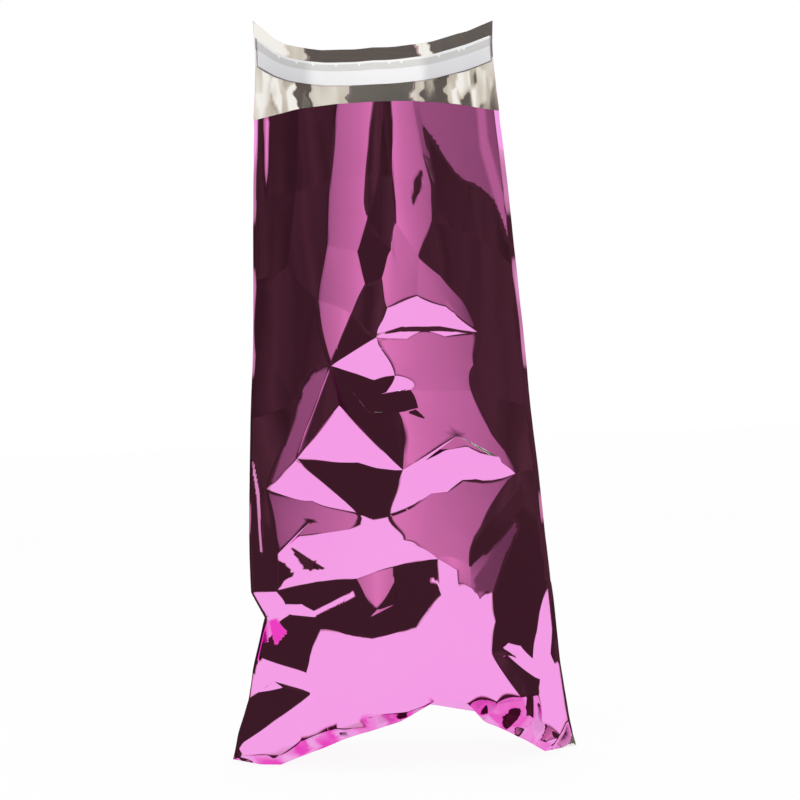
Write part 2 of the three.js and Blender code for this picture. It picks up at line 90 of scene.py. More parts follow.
FACETS = (
    ("L0 L1 b3 a3", -4, -52), ("a3 b3 b4 a4", -4, -38), ("a4 b4 b5 a5", 0, -5), ("a5 b5 b5m a5m", -4, 32),
    ("a5m b5m b6 a6", -4, -32), ("a6 b6 b7r b7 a7", 0, 5), ("a7 b7 b8 a8", -2, 17),
    ("a8 b8 b9 a9", -2, 30), ("a9 b9 R1 R0", 0, 65), ("b7 b7r c7 c8 b8", 0, 40),
    ("b8 c8 R2 R1 b9", 0, 52),
    ("L1 L2 d3 b3", 0, -52), ("b3 d3 d4 c4 b4", 0, -38), ("b4 c4 d5 c5 b5", 0, -6),
    ("c4 d4 d5s d5r d5", -2, -5), ("d4 C d5s", 3, -3), ("b5 c5 b5m", 0, 30),
    ("b5m c5 d6 c6 b6", 0, -24), ("c5 d5 d5r d6r d6", -8, -24), ("d5r d5s A u1 d6r", 0, 30),
    ("d5s C A", -12, 26), ("b6 c6 c7k c7 b7r", 0, 5), ("c6 d6 d6r u1 u2 c7k", 0, 4),
    ("c7k u2 u3 B d8 d7", -2, 10), ("u1 A Am B u3 u2", 20, 2), ("c7 c7k d7 d8 c8", 0, 42),
    ("c8 d8 B R3 R2", 0, 50), ("B n1 n2 R4 R3", 0, 50), ("n2 n3 V R5 R4", 0, 55),
    ("L2 L3 s1 C d4 d3", 0, -44), ("L3 L4 s1", 0, -46), ("L4 L5 H s2 s1", 0, -52),
    ("C s1 s3", 3, -18), ("s1 s2 E s3", 3, -18), ("s2 H E", 5, -15),
    ("T E Tm F", 24, -2), ("C s3 E T", 2, 24), ("C T F l2 l1b l1", -4, -30),
    ("A C p4 p3", 26, 0), ("p3 p4 q1", -12, 0), ("p3 q1 q2 D", 26, 4),
    ("C l1 l1b l2 D q2 q1 p4", -12, 0), ("A p3 D n2 n1 B Am", 2, 4), ("D l2 F v1 v2 v3 V n3 n2", 3, 4),
    ("F G2 w2 w1 V v3 v2 v1", 22, -4), ("E G G2 F Tm", -12, 4), ("E H h1 G", 24, -10),
    ("H I i1 i2 G h1", 5, -7), ("L5 L6 I H", 0, -55), ("L6 L7 K I", 0, -55),
    ("i1 I K k1 P i2", 24, -4), ("i2 P j2 J j1 G2 G", 24, 4), ("w2 G2 j1 J m2 m1 V w1", 5, 5),
    ("m2 m3 m4 m5", 4, 14), ("m1 m2 m5 V", 0, 42), ("J m3 m2", 5, 0), ("V m5 R6 R5", 0, 60),
    ("m5 m4 R7 R6", 0, 50), ("m4 g1 Q g2 g3 g4 R R7", 0, 48), ("R7 R t2 R8", 25, 26),
    ("R g4 g5 t2", 25, 22), ("R8 t2 R9", 5, 60), ("t2 g5 g7 f11 f12 R11 R10 R9", 26, 24),
    ("g2 Q g8 g5 g4 g3", 24, 5), ("Q g6 g7 g5 g8", 3, 32),
    ("K x1 x2 st P k1", -12, -12), ("P st x2 x3 o1 o2 sp", -12, -6), ("P sp s9 j2", 6, 0),
    ("j2 s9 sp o2 o3 o4 o5 o6 J", -11, 6),
    ("J o6 o5 f7 f8 f9 g6 Q g1 m4 m3", 22, 4), ("o5 o4 o3 o2 o1 f5 f6 f7", 24, 0),
    ("o1 y3 y4 z3 f4 f5", 24, -4), ("x3 y2 y1 y5 y4 y3 o1", -2, -36), ("K L7 L8 x1", 22, -15),
    ("x1 L8 y1 y2 x3 x2", 25, -20), ("L8 L9 y5 y1", 26, -34), ("y5 L9 L10 z1 z2 z3 y4", 27, -24),
    ("z1 L10 L11 z4 z3 z2", 2, -40), ("z3 z4 f1 f3 f4", 24, -12), ("z4 L11 L12 f1", 0, -30),
    ("f1 L12 h2 h3 f3", -30, -10), ("f3 h3 h4 f5 f4", -40, -5), ("f5 h4 h5 f6", -45, 0),
    ("f6 h5 f7", -45, 0), ("f8 h7 f9", -40, 0), ("f9 h7 h8 f10 g6", -30, 20), ("g6 f10 f11 g7", -10, 30),
    ("f10 h8 h9 f12 f11", -35, 25), ("f12 h9 h10 R12 R11", -20, 40),
)


# Sizes and colours a user may change

class FilmSettings(bpy.types.PropertyGroup):
    colour: bpy.props.FloatVectorProperty(
        name="Film colour", description="Colour of the metallising seen from outside",
        subtype="COLOR", size=3, min=0, max=1, default=(0.92, 0.365, 0.81))
    inner_colour: bpy.props.FloatVectorProperty(
        name="Inner colour", description="Colour of the bare metal side",
        subtype="COLOR", size=3, min=0, max=1, default=(0.93, 0.9, 0.85))
    thickness: bpy.props.FloatProperty(
        name="Thickness", description="Wall of the film",
        subtype="DISTANCE", unit="LENGTH", min=0.00005, max=0.001, default=0.00012)
    crease: bpy.props.FloatProperty(
        name="Crease sharpness", description="How sharply the film breaks along its creases",
        min=0, max=1, default=0.7)
    flatness: bpy.props.FloatProperty(
        name="Facet flatness", description="How little the film curves between its creases",
        subtype="FACTOR", min=0, max=1, default=0.85)
    sharpness: bpy.props.FloatProperty(
        name="Fold sharpness", description="How suddenly the film's reflections change at a crease",
        subtype="FACTOR", min=0, max=1, default=0.75)
    crinkle: bpy.props.FloatProperty(
        name="Crinkle height", description="Height of the small dents in the film",
        subtype="DISTANCE", unit="LENGTH", min=0, max=0.003, default=0.00035)
    roughness: bpy.props.FloatProperty(
        name="Roughness", description="Blur of the film's reflections",
        subtype="FACTOR", min=0, max=1, default=0.06)


class TapeSettings(bpy.types.PropertyGroup):
    liner_colour: bpy.props.FloatVectorProperty(
        name="Liner colour", description="Colour of the milky peel-off film",
        subtype="COLOR", size=3, min=0, max=1, default=(0.98, 0.98, 1.0))
    adhesive_colour: bpy.props.FloatVectorProperty(
        name="Adhesive colour", description="Colour of the tacky stripe",
        subtype="COLOR", size=3, min=0, max=1, default=(0.48, 0.48, 0.46))
    liner_opacity: bpy.props.FloatProperty(
        name="Liner opacity", description="How much the milky film hides",
        subtype="FACTOR", min=0, max=1, default=0.93)


class StageSettings(bpy.types.PropertyGroup):
    distance: bpy.props.FloatProperty(
        name="Camera distance", description="From the side seams' plane to the camera",
        subtype="DISTANCE", unit="LENGTH", min=0.3, max=3, default=0.8)
    height: bpy.props.FloatProperty(
        name="Camera height", description="Camera above the floor",
        subtype="DISTANCE", unit="LENGTH", min=0, max=1, default=0.166)
    lens: bpy.props.FloatProperty(
        name="Lens", description="Focal length in millimetres", min=20, max=200, default=76.5)
    surround_radius: bpy.props.FloatProperty(
        name="Surround radius", description="Distance of the dark and mid cards that the film reflects",
        subtype="DISTANCE", unit="LENGTH", min=0.8, max=5, default=1.6)
    dark: bpy.props.FloatVectorProperty(
        name="Dark card", description="Colour of the dark ring that the film reflects",
        subtype="COLOR", size=3, min=0, max=1, default=(0.048, 0.031, 0.025))
    mid: bpy.props.FloatVectorProperty(
        name="Mid card", description="Colour of the cards in front of the broad sides",
        subtype="COLOR", size=3, min=0, max=1, default=(0.5, 0.32, 0.37))


# Facets with painted shade: the film's colour is painted a deeper tone there, standing in for the metal in shade
# mirroring its own folds: facet and share.
PAINTED_SHADE_FACETS = {
    "f1 L12 h2 h3 f3": 0.9, "f3 h3 h4 f5 f4": 0.95, "f5 h4 h5 f6": 0.8, "f6 h5 f7": 0.9,
    "f8 h7 f9": 0.9, "f9 h7 h8 f10 g6": 0.8, "g6 f10 f11 g7": 0.5, "f10 h8 h9 f12 f11": 0.5,
    "f12 h9 h10 R12 R11": 0.4, "L8 L9 y5 y1": 1.0, "z4 L11 L12 f1": 0.3,
}

# Small marks inside the facets, drawn the same way: outline, lean, turn, softness of the edge in
# millimetres, and the share of painted shade in the film's colour.
MARKS = (
    (((20.6, 289.4), (25.5, 281.4), (30, 272.9), (35.3, 266.9), (39.3, 264), (46.6, 261.4), (52.3, 256.4),
      (57.1, 245.6), (62, 236), (66, 262), (64, 302), (47.7, 303), (35.7, 303), (17.9, 303)), 0, 12, 1.2, 0),
    (((46, 303), (50, 303), (51, 285), (57, 262), (62, 240), (59, 238), (53, 258), (47, 280)), 1, 6, 1.5, 0),
    (((-52.4, 300), (-50.2, 300), (-52.1, 275), (-54.4, 255)), 10, -30, 0.8, 0.45),
    (((16, 265), (19.5, 269), (18.1, 259.7), (14, 252)), -3, 30, 0.8, 0),
    (((-47.7, 100.7), (-40.8, 96.5), (-31.3, 90.1), (-40.1, 89.5), (-43.3, 92.1)), 0, 46, 0.9, 0),
    (((-53.5, 94.5), (-50.3, 92.7), (-46.2, 87.5), (-50.4, 86), (-53.8, 81.2)), 0, -46, 0.9, 0),
    (((8.6, 159.8), (12.4, 161.7), (15.8, 157)), -12, 5, 0.7, 0),
    (((-33.5, 180), (-26, 181), (-35.3, 160), (-43.4, 141), (-57, 126.5), (-49, 144.8), (-42.8, 159.3),
      (-39, 173.9)), 3, -12, 1.4, 0),
    (((-38.2, 70.6), (-19.3, 79.8), (-18.9, 77), (-37.3, 68.5)), 24, -10, 0.5, 0),
    (((45.7, 95), (56.7, 109), (58.1, 104.5), (54.4, 98), (44.3, 76.5), (36.1, 76.8), (35.9, 82.7)), 5, 15, 0.8, 0),
    (((45.2, 107), (60.7, 127.2), (61.9, 116.8), (56.1, 109.4), (41.9, 93.8)), 0, 40, 1.2, 0),
    (((15.7, 83.2), (17.7, 84.2), (19.7, 82.1), (18, 80.8)), 24, 0, 0.5, 0),
    (((-60, 65), (-56, 66.5), (-50.5, 60.5), (-57.5, 52.5)), 26, -30, 0.8, 1.0),
    (((-65.9, 140.9), (-64, 140.9), (-61.5, 126.5), (-61.1, 96.4), (-62.8, 97.6), (-63.4, 121.8)), 22, -45, 0.6, 0),
    (((-7, 195), (6.7, 199), (24.8, 198.6), (43.5, 194.6), (24.7, 196.2), (6.6, 196.6)), 0, 44, 0.6, 0),
    (((20.8, 288), (25.5, 281.4), (34, 268), (40, 262), (36, 240), (24.5, 252), (25.4, 266)), -2, 42, 0.8, 0),
)

# The lip's silver side in bands of (from, to) across, (from, to) above the mouth, lean, turn, crumple.
LIP_BANDS = (
    (-60, -44, 26, 46, 6, 28, 0.2), (-44, -35, 26, 46, 1.6, 28, 0.15), (-35, 20, 26, 46, -16, 6, 0.1),
    (20, 26, 26, 46, 4, -24, 0.5), (26, 60, 26, 46, -6, -28, 0.3),
    (-60, -40, -4, 26, 4, 28, 0.7), (-40, -33, 6, 26, -8, 28, 0.4), (-33, -14, -4, 26, 1.6, 28, 0.35),
    (-40, -33, -4, 6, 1.6, 28, 0.5), (-14, 17, -4, 26, -16, 4, 0.1), (17, 22, -4, 26, 1.5, -28, 0.5),
    (22, 33, 10, 26, -5, -28, 0.6), (22, 33, -4, 10, 1.4, -28, 0.7), (33, 60, -4, 26, 3.5, -28, 0.7),
)

# How far the lip's edge lies above or below its even curve, by the place across, in millimetres.
LIP_LIFT = (
    (-58, 2.4), (-54, 0.6), (-49, -2.0), (-43, -2.8), (-34, -2.4), (-17, -0.7), (-2, 0.5), (20, 0),
    (40, -0.5), (58, -2.3),
)


# Modelling helpers

def deselect_all():
    if bpy.context.object and bpy.context.object.mode != "OBJECT":
        bpy.ops.object.mode_set(mode="OBJECT")
    bpy.ops.object.select_all(action="DESELECT")


def pick(piece):
    deselect_all()
    piece.select_set(True)
    bpy.context.view_layer.objects.active = piece


def copy_node(node, name):
    """A merged copy of a CAD node's mesh, as an object of its own at the origin."""
    piece = bpy.data.objects.new(name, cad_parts[node].data.copy())
    piece.data.name = name
    piece.data.materials.clear()
    bpy.context.scene.collection.objects.link(piece)
    pick(piece)
    bpy.ops.object.mode_set(mode="EDIT")
    bpy.ops.mesh.select_all(action="SELECT")
    bpy.ops.mesh.remove_doubles(threshold=0.00001)
    bpy.ops.object.mode_set(mode="OBJECT")
    return piece


def keep_one_skin(piece, is_rim, is_wanted):
    """Cuts a thin closed body along its rim and keeps the skin for which is_wanted is true."""
    pick(piece)
    for edge in piece.data.edges:
        edge.select = False
    for vertex in piece.data.vertices:
        vertex.select = False
    for polygon in piece.data.polygons:
        polygon.select = is_rim(piece.data, polygon)
    bpy.ops.object.mode_set(mode="EDIT")
    bpy.ops.mesh.select_mode(type="FACE")
    bpy.ops.mesh.delete(type="ONLY_FACE")
    bpy.ops.mesh.select_all(action="SELECT")
    bpy.ops.mesh.delete_loose()
    bpy.ops.object.mode_set(mode="OBJECT")
    mesh = bmesh.new()
    mesh.from_mesh(piece.data)
    mesh.faces.ensure_lookup_table()
    left = set(mesh.faces)
    skins = []
    while left:
        skin = [left.pop()]
        for face in skin:
            for edge in face.edges:
                for other in edge.link_faces:
                    if other in left:
                        left.discard(other)
                        skin.append(other)
        skins.append(skin)
    wanted = max(skins, key=is_wanted)
    unwanted = [face for skin in skins if skin is not wanted for face in skin]
    bmesh.ops.delete(mesh, geom=unwanted, context="FACES")
    mesh.to_mesh(piece.data)
    mesh.free()


def skin_reach(skin):
    """How much room a skin takes: the outer one takes more than the inner one."""
    return sum(face.calc_area() for face in skin)


def make_quads(piece):
    """Joins loose triangles to four-sided faces, but never over an edge marked sharp."""
    pick(piece)
    bpy.ops.object.mode_set(mode="EDIT")
    bpy.ops.mesh.select_mode(type="FACE")
    bpy.ops.mesh.select_all(action="SELECT")
    bpy.ops.mesh.tris_convert_to_quads(
        face_threshold=math.radians(60), shape_threshold=math.radians(120), sharp=True)
    bpy.ops.object.mode_set(mode="OBJECT")


def drawn_facets():
    """Corner places of each drawn facet in metres, as lists of (across, up)."""
    places = {name: place for name, place in CREASE_POINTS.items()}
    for row, (up, left, right) in enumerate(SEAM_POINTS):
        places[f"L{row}"] = (left, up)
        places[f"R{row}"] = (right, up)
    return [
        [((places[name][0] + DRAWING_SHIFT) * MILLIMETRE, places[name][1] * MILLIMETRE)
         for name in corners.split()]
        for corners, lean, turn in FACETS
    ]


def inside(corners, across, up):
    """True if a point lies inside a drawn outline."""
    hit = False
    before = corners[-1]
    for here in corners:
        if (here[1] > up) != (before[1] > up):
            crossing = (before[0] - here[0]) * (up - here[1]) / (before[1] - here[1]) + here[0]
            if across < crossing:
                hit = not hit
        before = here
    return hit


def mark_facets(piece):
    """Gives each face of the front panel the number of its drawn facet, and marks the creases sharp."""
    mesh = bmesh.new()
    mesh.from_mesh(piece.data)
    layer = mesh.faces.layers.int.new("facet")
    outlines = drawn_facets()
    for face in mesh.faces:
        face[layer] = -1
        middle = face.calc_center_median()
        if face.normal.y > -0.03 or middle.y > 0.004:
            continue
        for number, outline in enumerate(outlines):
            if inside(outline, middle.x, middle.z):
                face[layer] = number
                break
    for edge in mesh.edges:
        numbers = {face[layer] for face in edge.link_faces}
        if len(numbers) > 1:
            edge.smooth = False
    mesh.to_mesh(piece.data)
    mesh.free()


def split_front(piece):
    """Splits the front panel and the lip once more, where the reflections need it."""
    pick(piece)
    facet = piece.data.attributes["facet"].data
    for polygon in piece.data.polygons:
        wanted = facet[polygon.index].value >= 0 or polygon.center.z > 0.296
        polygon.select = wanted and polygon.area > 0.0000006
    bpy.ops.object.mode_set(mode="EDIT")
    bpy.ops.mesh.select_mode(type="FACE")
    bpy.ops.mesh.subdivide(number_cuts=1, smoothness=0)
    bpy.ops.object.mode_set(mode="OBJECT")


def facet_direction(lean, turn):
    lean, turn = math.radians(lean), math.radians(turn)
    return numpy.array((
        math.sin(turn) * math.cos(lean), -math.cos(turn) * math.cos(lean), math.sin(lean)))


def unit(rows):
    return rows / numpy.maximum(numpy.linalg.norm(rows, axis=-1, keepdims=True), 1e-9)


def between(value, table):
    """Straight-line reading of a table of (place, amount)."""
    return numpy.interp(value, [row[0] for row in table], [row[1] for row in table])


def lip_row(across, up):
    """Height above the mouth along the film, in millimetres, of a place on the lip."""
    middle = 1 - min(1.0, abs(across + 0.75) / 57.75) ** 2
    return (up - 300) / (1 - middle / 9)


def shape_lip(piece):
    """Lifts and drops the lip's edge to its uneven curve, fading out at the mouth."""
    for vertex in piece.data.vertices:
        place = vertex.co
        if place.y < -0.001 or place.z < 0.3:
            continue
        row = lip_row(place.x / MILLIMETRE, place.z / MILLIMETRE)
        share = min(1.0, row / 40) ** 1.4
        place.z += share * between(place.x / MILLIMETRE, LIP_LIFT) * MILLIMETRE


def seam_distance(across, up):
    """How far inside the nearer side seam a place is, in metres, and that side's sign."""
    rows = sorted(SEAM_POINTS)
    heights = [row[0] * MILLIMETRE for row in rows]
    left = numpy.interp(up, heights, [(row[1] + DRAWING_SHIFT) * MILLIMETRE for row in rows])
    right = numpy.interp(up, heights, [(row[2] + DRAWING_SHIFT) * MILLIMETRE for row in rows])
    return numpy.minimum(across - left, right - across), numpy.where(across - left < right - across, -1, 1)


def directions(lean, turn):
    lean, turn = numpy.radians(lean), numpy.radians(turn)
    return numpy.stack((
        numpy.sin(turn) * numpy.cos(lean), -numpy.cos(turn) * numpy.cos(lean),
        numpy.sin(lean) + turn * 0), axis=-1)


def crumple(places, size, seed):
    """An uneven tilt for each place: flat pieces about the given size in metres, with soft dents."""
    rows = []
    for x, y, z in places:
        at = Vector((x, y + seed, z * 0.6)) / size
        reach, middles = noise.voronoi(at + noise.noise_vector(at * 0.7) * 0.3)
        share = 0.5 + min(0.5, (reach[1] - reach[0]) * 5)
        cell = noise.cell_vector(middles[0] * 40) * share + noise.cell_vector(middles[1] * 40) * (1 - share)
        soft = noise.noise_vector(at * 0.9)
        rows.append((cell.x - 0.5 + soft.x * 0.5, 0.0, cell.z - 0.5 + soft.z * 0.5))
    return numpy.array(rows)


def outline_depth(outline, across, up):
    """Signed distance from a drawn outline in millimetres, positive inside, for many places."""
    nearest = numpy.full(len(across), 1e9)
    hit = numpy.zeros(len(across), dtype=bool)
    before = outline[-1]
    for here in outline:
        ax, az = before
        bx, bz = here
        reach = max((bx - ax) ** 2 + (bz - az) ** 2, 1e-9)
        along = numpy.clip(((across - ax) * (bx - ax) + (up - az) * (bz - az)) / reach, 0, 1)
        gap = numpy.hypot(across - ax - along * (bx - ax), up - az - along * (bz - az))
        nearest = numpy.minimum(nearest, gap)
        if az != bz:
            crossing = (ax - bx) * (up - bz) / (az - bz) + bx
            hit ^= ((bz > up) != (az > up)) & (across < crossing)
        before = here
    return numpy.where(hit, nearest, -nearest)


def add_marks(normals, places, front, shade):
    """Lays the small marks over the facets, and adds painted shade to the film's colour where they say so."""
    across = places[:, 0] / MILLIMETRE - DRAWING_SHIFT
    up = places[:, 2] / MILLIMETRE
    for outline, lean, turn, softness, painted_shade_share in MARKS:
        share = numpy.clip(outline_depth(outline, across, up) / softness + 0.5, 0, 1) * front
        aim = facet_direction(lean, turn)
        normals = unit(normals * (1 - share[:, None]) + aim * share[:, None])
        # Painted shade: the mark's share of a deeper film colour.
        shade = numpy.maximum(shade * (1 - share), painted_shade_share * share)
    return normals, shade


def bend_edges(normals, places, front):
    """The film rounds off to its side seals, so its shading turns outwards and up there."""
    distance, side = seam_distance(places[:, 0], places[:, 2])
    width = numpy.where(side < 0, 0.0016, 0.0024) * numpy.where(places[:, 2] < 0.04, 0.5, 1.0)
    share = numpy.clip((width - distance) / 0.0009 + 0.5, 0, 1) * front
    wave = numpy.sin(places[:, 2] * 70) + numpy.sin(places[:, 2] * 173 + 1) * 0.6
    outward = directions(9.0 + 7.0 * wave, 48.0 * side)
    return unit(normals * (1 - share[:, None]) + outward * share[:, None])


def bend_lip(normals, places, lip):
    """Lays the lip's silver side in bands, crumpled near the side seals."""
    chosen = numpy.flatnonzero(lip)
    ripple = crumple(places[chosen] * (1, 1, 0.6), 0.006, 3.0)
    for index, tilt in zip(chosen, ripple):
        across, up = places[index, 0] / MILLIMETRE, places[index, 2] / MILLIMETRE
        row = lip_row(across, up)
        slide = across + 1.2 * math.sin(row * 0.45) + 0.6 * math.sin(row * 1.1 + 1)
        total, weight, crumpled = numpy.zeros(3), 0.0, 0.0
        for left, right, low, high, lean, turn, amount in LIP_BANDS:
            near = min(slide - left, right - slide, row - low, high - row)
            share = min(1.0, max(0.0, near / 0.8 + 0.5))
            total += directions(numpy.array(lean), numpy.array(turn)) * share
            crumpled += amount * share
            weight += share
        if weight > 0:
            normals[index] = total / weight + tilt * 0.26 * crumpled / weight
    return unit(normals)


def line_creases(normals, points, corner, facet):
    """A crease is a tight bend, so along it the film turns towards the dark sides in an uneven line."""
    drawn = facet >= 0
    strength = numpy.zeros(len(points))
    for column, least in ((1, 8), (2, 28)):
        angle = numpy.array([row[column] for row in FACETS])[facet[drawn]]
        lowest = numpy.full(len(points), 99)
        highest = numpy.full(len(points), -99)
        numpy.minimum.at(lowest, corner[drawn], angle)
        numpy.maximum.at(highest, corner[drawn], angle)
        strength[highest - lowest > least] = 1.0
    for index in numpy.flatnonzero(strength):
        strength[index] = 0.45 + 1.1 * noise.noise(Vector(points[index]) / 0.018)
    share = numpy.clip(strength, 0, 0.85)[corner] * drawn
    side = numpy.where(normals[:, 0] < 0, -1.0, 1.0)
    dark = directions(numpy.zeros(len(normals)), 48.0 * side)
    return unit(normals * (1 - share[:, None]) + dark * share[:, None])


def settle_facets(piece, flatness, sharpness):
    """Turns each facet's shading to its drawn lean, keeping part of the film's own unevenness."""
    mesh = piece.data
    count = len(mesh.polygons)
    number = numpy.empty(count, dtype=numpy.int32)
    mesh.attributes["facet"].data.foreach_get("value", number)
    slot = numpy.empty(count, dtype=numpy.int32)
    mesh.polygons.foreach_get("material_index", slot)
    normal = numpy.empty(count * 3)
    mesh.polygons.foreach_get("normal", normal)
    normal = normal.reshape(-1, 3)
    area = numpy.empty(count)
    mesh.polygons.foreach_get("area", area)
    sides = numpy.empty(count, dtype=numpy.int32)
    mesh.polygons.foreach_get("loop_total", sides)
    owner = numpy.repeat(numpy.arange(count), sides)
    corner = numpy.empty(len(mesh.loops), dtype=numpy.int32)
    mesh.loops.foreach_get("vertex_index", corner)
    centre = numpy.empty(count * 3)
    mesh.polygons.foreach_get("center", centre)
    centre = centre.reshape(-1, 3)
    poking = (slot == 1) & (number >= 0) & (normal[:, 1] < 0.35) & (centre[:, 2] < 0.29)
    slot[poking] = 0
    mesh.polygons.foreach_set("material_index", slot)
    number[(slot != 0) | (centre[:, 2] > 0.297) & (normal[:, 2] > 0.6)] = -1
    wanted = normal.copy()
    for facet, (names, lean, turn) in enumerate(FACETS):
        mine = number == facet
        if not mine.any():
            continue
        mean = unit((normal[mine] * area[mine, None]).sum(axis=0))
        low, high = centre[mine].min(axis=0), centre[mine].max(axis=0)
        aside = (centre[mine] - (low + high) / 2) / numpy.maximum((high - low) / 2, 0.004)
        aside[:, 1] = 0
        aside *= (math.sin(math.radians(4.5)), 0, 0)
        wanted[mine] = unit(
            facet_direction(lean, turn) + aside + (normal[mine] - mean) * (1 - flatness))
    group = numpy.where(number >= 0, number, len(FACETS) + slot)
    keys, place = numpy.unique(
        corner.astype(numpy.int64) * (len(FACETS) + 8) + group[owner], return_inverse=True)
    sums = numpy.zeros((len(keys), 3))
    numpy.add.at(sums, place, wanted[owner] * area[owner, None])
    own = unit(sums)[place]
    everything = numpy.zeros((len(mesh.vertices), 3))
    drawn = (number >= 0)[owner]
    numpy.add.at(everything, corner[drawn], (wanted[owner] * area[owner, None])[drawn])
    shared = unit(everything)[corner]
    front = (number >= 0)[owner, None]
    mixed = numpy.where(front, unit(shared * (1 - sharpness) + own * sharpness), own)
    points = numpy.empty(len(mesh.vertices) * 3)
    mesh.vertices.foreach_get("co", points)
    places = points.reshape(-1, 3)[corner]
    on_front = front[:, 0] * 1.0
    # Painted shade: each drawn facet's share of a deeper film colour, standing in for the metal in shade mirroring
    # its own folds; where the share is large the shading is crumpled and the share is broken up unevenly.
    painted_shade_share = numpy.zeros(count)
    for facet, (names, lean, turn) in enumerate(FACETS):
        painted_shade_share[number == facet] = PAINTED_SHADE_FACETS.get(names, 0.0)
    shade = painted_shade_share[owner]
    shaded_fold_corners = numpy.flatnonzero(shade > 0.2)
    tilt = crumple(places[shaded_fold_corners], 0.007, 8.0)
    mixed[shaded_fold_corners] = unit(mixed[shaded_fold_corners] + tilt * 1.4)
    shade[shaded_fold_corners] *= numpy.clip(0.85 + tilt[:, 0] * 2.0, 0, 1)
    points = points.reshape(-1, 3)
    calm = numpy.array([noise.noise_vector(Vector(point) / 0.03) * 0.012
                        + noise.noise_vector(Vector(point) / 0.009) * 0.006 for point in points])
    mixed = unit(mixed + calm[corner] * on_front[:, None])
    mixed = line_creases(mixed, points, corner, number[owner])
    behind = (slot == 0) & (number < 0) & (normal[:, 1] > 0.3)
    behind_points = numpy.unique(corner[behind[owner]])
    tilts = numpy.zeros((len(points), 3))
    tilts[behind_points] = crumple(points[behind_points], 0.04, 21.0) * 0.4 + (0, 0, 0.11)
    mixed = unit(mixed + tilts[corner] * behind[owner, None])
    mixed, shade = add_marks(mixed, places, on_front, shade)
    mixed = bend_edges(mixed, places, on_front)
    lip = (slot[owner] == 1) & (places[:, 1] > -0.002) & (places[:, 2] > 0.296) & (normal[owner][:, 1] < 0.3)
    mixed = bend_lip(mixed, places, lip)
    mesh.normals_split_custom_set([tuple(row) for row in mixed])
    # The painted shade is kept on the points as an attribute that deepens the film's colour.
    at_point = numpy.zeros(len(mesh.vertices))
    numpy.maximum.at(at_point, corner, shade)
    mesh.attributes.new("painted_fold_shade", "FLOAT", "POINT").data.foreach_set("value", at_point)


def crease_edges(piece, sharp_from, full_at, strength):
    """Weights each edge for the subdivision by how much the faces beside it turn."""
    mesh = bmesh.new()
    mesh.from_mesh(piece.data)
    layer = mesh.edges.layers.float.get("crease_edge") or mesh.edges.layers.float.new("crease_edge")
    for edge in mesh.edges:
        if len(edge.link_faces) != 2:
            edge[layer] = 1.0
            continue
        angle = math.degrees(edge.calc_face_angle(0.0))
        share = (angle - sharp_from) / (full_at - sharp_from)
        edge[layer] = strength * min(1.0, max(0.0, share))
    mesh.to_mesh(piece.data)
    mesh.free()


def apply_modifier(piece, kind, **values):
    modifier = piece.modifiers.new(kind.title(), kind)
    for key, value in values.items():
        setattr(modifier, key, value)
    pick(piece)
    bpy.ops.object.modifier_apply(modifier=modifier.name)


def smooth_shading(piece, degrees):
    pick(piece)
    bpy.ops.object.shade_smooth_by_angle(angle=math.radians(degrees))


# Materials

def new_group(name, inputs, outputs):
    group = bpy.data.node_groups.new(name, "ShaderNodeTree")
    for label, kind, value in inputs:
        socket = group.interface.new_socket(name=label, in_out="INPUT", socket_type=kind)
        socket.default_value = value
    for label, kind in outputs:
        group.interface.new_socket(name=label, in_out="OUTPUT", socket_type=kind)
    entry = group.nodes.new("NodeGroupInput")
    leave = group.nodes.new("NodeGroupOutput")
    return group, entry, leave


def math_node(tree, operation, first, second):
    node = tree.nodes.new("ShaderNodeMath")
    node.operation = operation
    for socket, value in zip(node.inputs, (first, second)):
        if isinstance(value, (int, float)):
            socket.default_value = value
        else:
            tree.links.new(value, socket)
    return node.outputs[0]


def film_wear_group():
    """Handling marks of a thin bright film: faint haze, hair scratches and pin dents."""
    inputs = [
        ("Haze", "NodeSocketFloat", 0.03), ("Scratches", "NodeSocketFloat", 0.05),
        ("Base Roughness", "NodeSocketFloat", 0.05), ("Dent Scale", "NodeSocketFloat", 120.0),
    ]
    outputs = [("Roughness", "NodeSocketFloat"), ("Height", "NodeSocketFloat"), ("Mask", "NodeSocketFloat")]
    group, entry, leave = new_group("Film wear", inputs, outputs)
    place = group.nodes.new("ShaderNodeTexCoord")
    haze = group.nodes.new("ShaderNodeTexNoise")
    haze.inputs["Scale"].default_value = 14.0
    haze.inputs["Detail"].default_value = 5.0
    group.links.new(place.outputs["Object"], haze.inputs["Vector"])
    hair = group.nodes.new("ShaderNodeTexNoise")
    stretch = group.nodes.new("ShaderNodeMapping")
    stretch.inputs["Scale"].default_value = (900.0, 900.0, 40.0)
    stretch.inputs["Rotation"].default_value = (0.3, 0.5, 0.2)
    group.links.new(place.outputs["Object"], stretch.inputs["Vector"])
    group.links.new(stretch.outputs["Vector"], hair.inputs["Vector"])
    hair.inputs["Scale"].default_value = 1.0
    hair.inputs["Detail"].default_value = 2.0
    dents = group.nodes.new("ShaderNodeTexNoise")
    dents.inputs["Detail"].default_value = 2.0
    group.links.new(place.outputs["Object"], dents.inputs["Vector"])
    group.links.new(entry.outputs["Dent Scale"], dents.inputs["Scale"])
    fine = math_node(group, "SUBTRACT", hair.outputs["Fac"], 0.62)
    fine = math_node(group, "MAXIMUM", fine, 0.0)
    fine = math_node(group, "MULTIPLY", fine, entry.outputs["Scratches"])
    cloud = math_node(group, "MULTIPLY", haze.outputs["Fac"], entry.outputs["Haze"])
    rough = math_node(group, "ADD", entry.outputs["Base Roughness"], cloud)
    rough = math_node(group, "ADD", rough, fine)
    group.links.new(rough, leave.inputs["Roughness"])
    group.links.new(dents.outputs["Fac"], leave.inputs["Height"])
    group.links.new(haze.outputs["Fac"], leave.inputs["Mask"])
    return group


def new_material(name):
    material = bpy.data.materials.new(name)
    material.use_nodes = True
    return material, material.node_tree, material.node_tree.nodes["Principled BSDF"]


